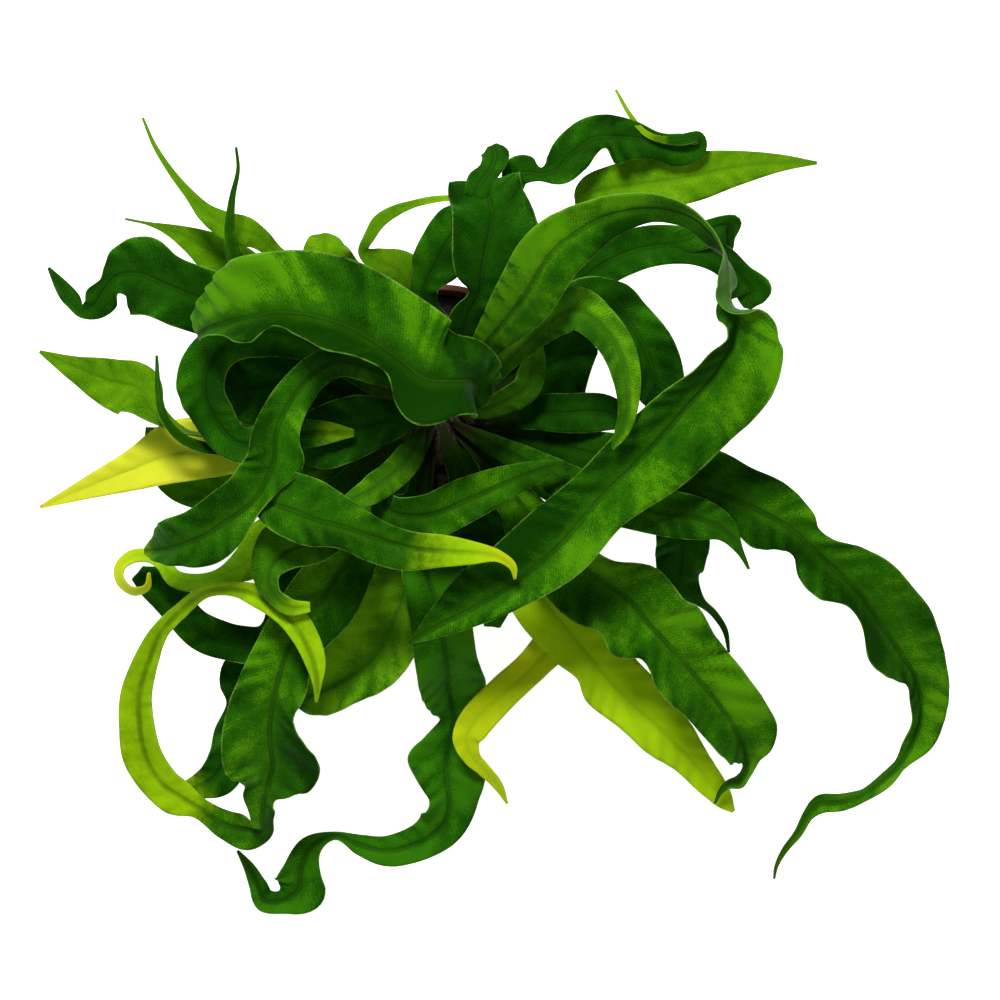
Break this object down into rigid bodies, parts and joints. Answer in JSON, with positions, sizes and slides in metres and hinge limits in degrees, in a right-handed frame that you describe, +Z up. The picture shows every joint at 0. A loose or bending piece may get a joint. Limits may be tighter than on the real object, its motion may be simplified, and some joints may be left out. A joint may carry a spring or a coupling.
{
  "type": "potted bird's nest fern",
  "caption": "Potted bird's nest fern with long strap-shaped, waved and twisting green fronds that rise from one crown and arch over a small round nursery pot.",
  "frame": {"origin": "centre of the pot's flat underside, on the pot's own axis", "axes": "+Z up along the pot's axis, +X to the right and +Y to the top of the picture, which looks straight down on the plant"},
  "size_m": [0.457, 0.4145, 0.2767],
  "materials": {
    "pot": "satin",
    "soil": "matte",
    "crown": "matte",
    "leaf_deep": "satin",
    "leaf_mid": "satin",
    "leaf_fresh": "satin",
    "leaf_lime": "satin",
    "leaf_yellow": "satin"
  },
  "bodies": {
    "root": {"pot": "pot", "soil": "soil", "crown": "crown", "frond_01_spiral": "leaf_mid", "frond_02_broad_wavy": "leaf_mid", "frond_03_forked": "leaf_mid", "frond_04_bowl": "leaf_deep", "frond_05_bowl_floor": "leaf_deep", "frond_06_loop": "leaf_lime", "frond_07_right_trail": "leaf_mid", "frond_08_broad_ruffled": "leaf_mid", "frond_09_yellow_green": "leaf_lime", "frond_10_yellow_strap": "leaf_yellow", "frond_11_bottom_trail": "leaf_deep", "frond_12_yellow_curl": "leaf_yellow", "frond_13_hook": "leaf_lime", "frond_14_yellow_dart": "leaf_yellow", "frond_15_green_dart": "leaf_lime", "frond_16_thin_spike": "leaf_mid", "frond_17_light_spike": "leaf_lime", "frond_18_lime_point": "leaf_lime", "frond_19_dark_spike": "leaf_mid", "frond_20_twisted_tail": "leaf_deep", "frond_21_hump": "leaf_lime", "frond_22_thin_arc": "leaf_lime", "frond_23_dark_left": "leaf_deep", "frond_24_top_trail": "leaf_deep", "frond_25_light_dart": "leaf_lime", "frond_26_right_dark": "leaf_deep", "frond_27_right_inner": "leaf_deep", "frond_28_hanging": "leaf_fresh", "frond_29_light_hook": "leaf_fresh", "frond_30_centre_strap": "leaf_mid", "frond_31_inner_strap": "leaf_deep", "frond_32_tapered": "leaf_mid", "frond_33_hanging_tail": "leaf_deep", "frond_34_lower_left": "leaf_deep", "frond_35_left_under": "leaf_deep", "frond_36_low_fold": "leaf_mid", "frond_37_small_light": "leaf_fresh", "frond_38_left_low": "leaf_fresh", "frond_39_centre_dark": "leaf_deep", "frond_40_south_small": "leaf_fresh", "frond_41_dark_column": "leaf_deep", "frond_42_mid_right": "leaf_deep"}
  },
  "joints": []
}
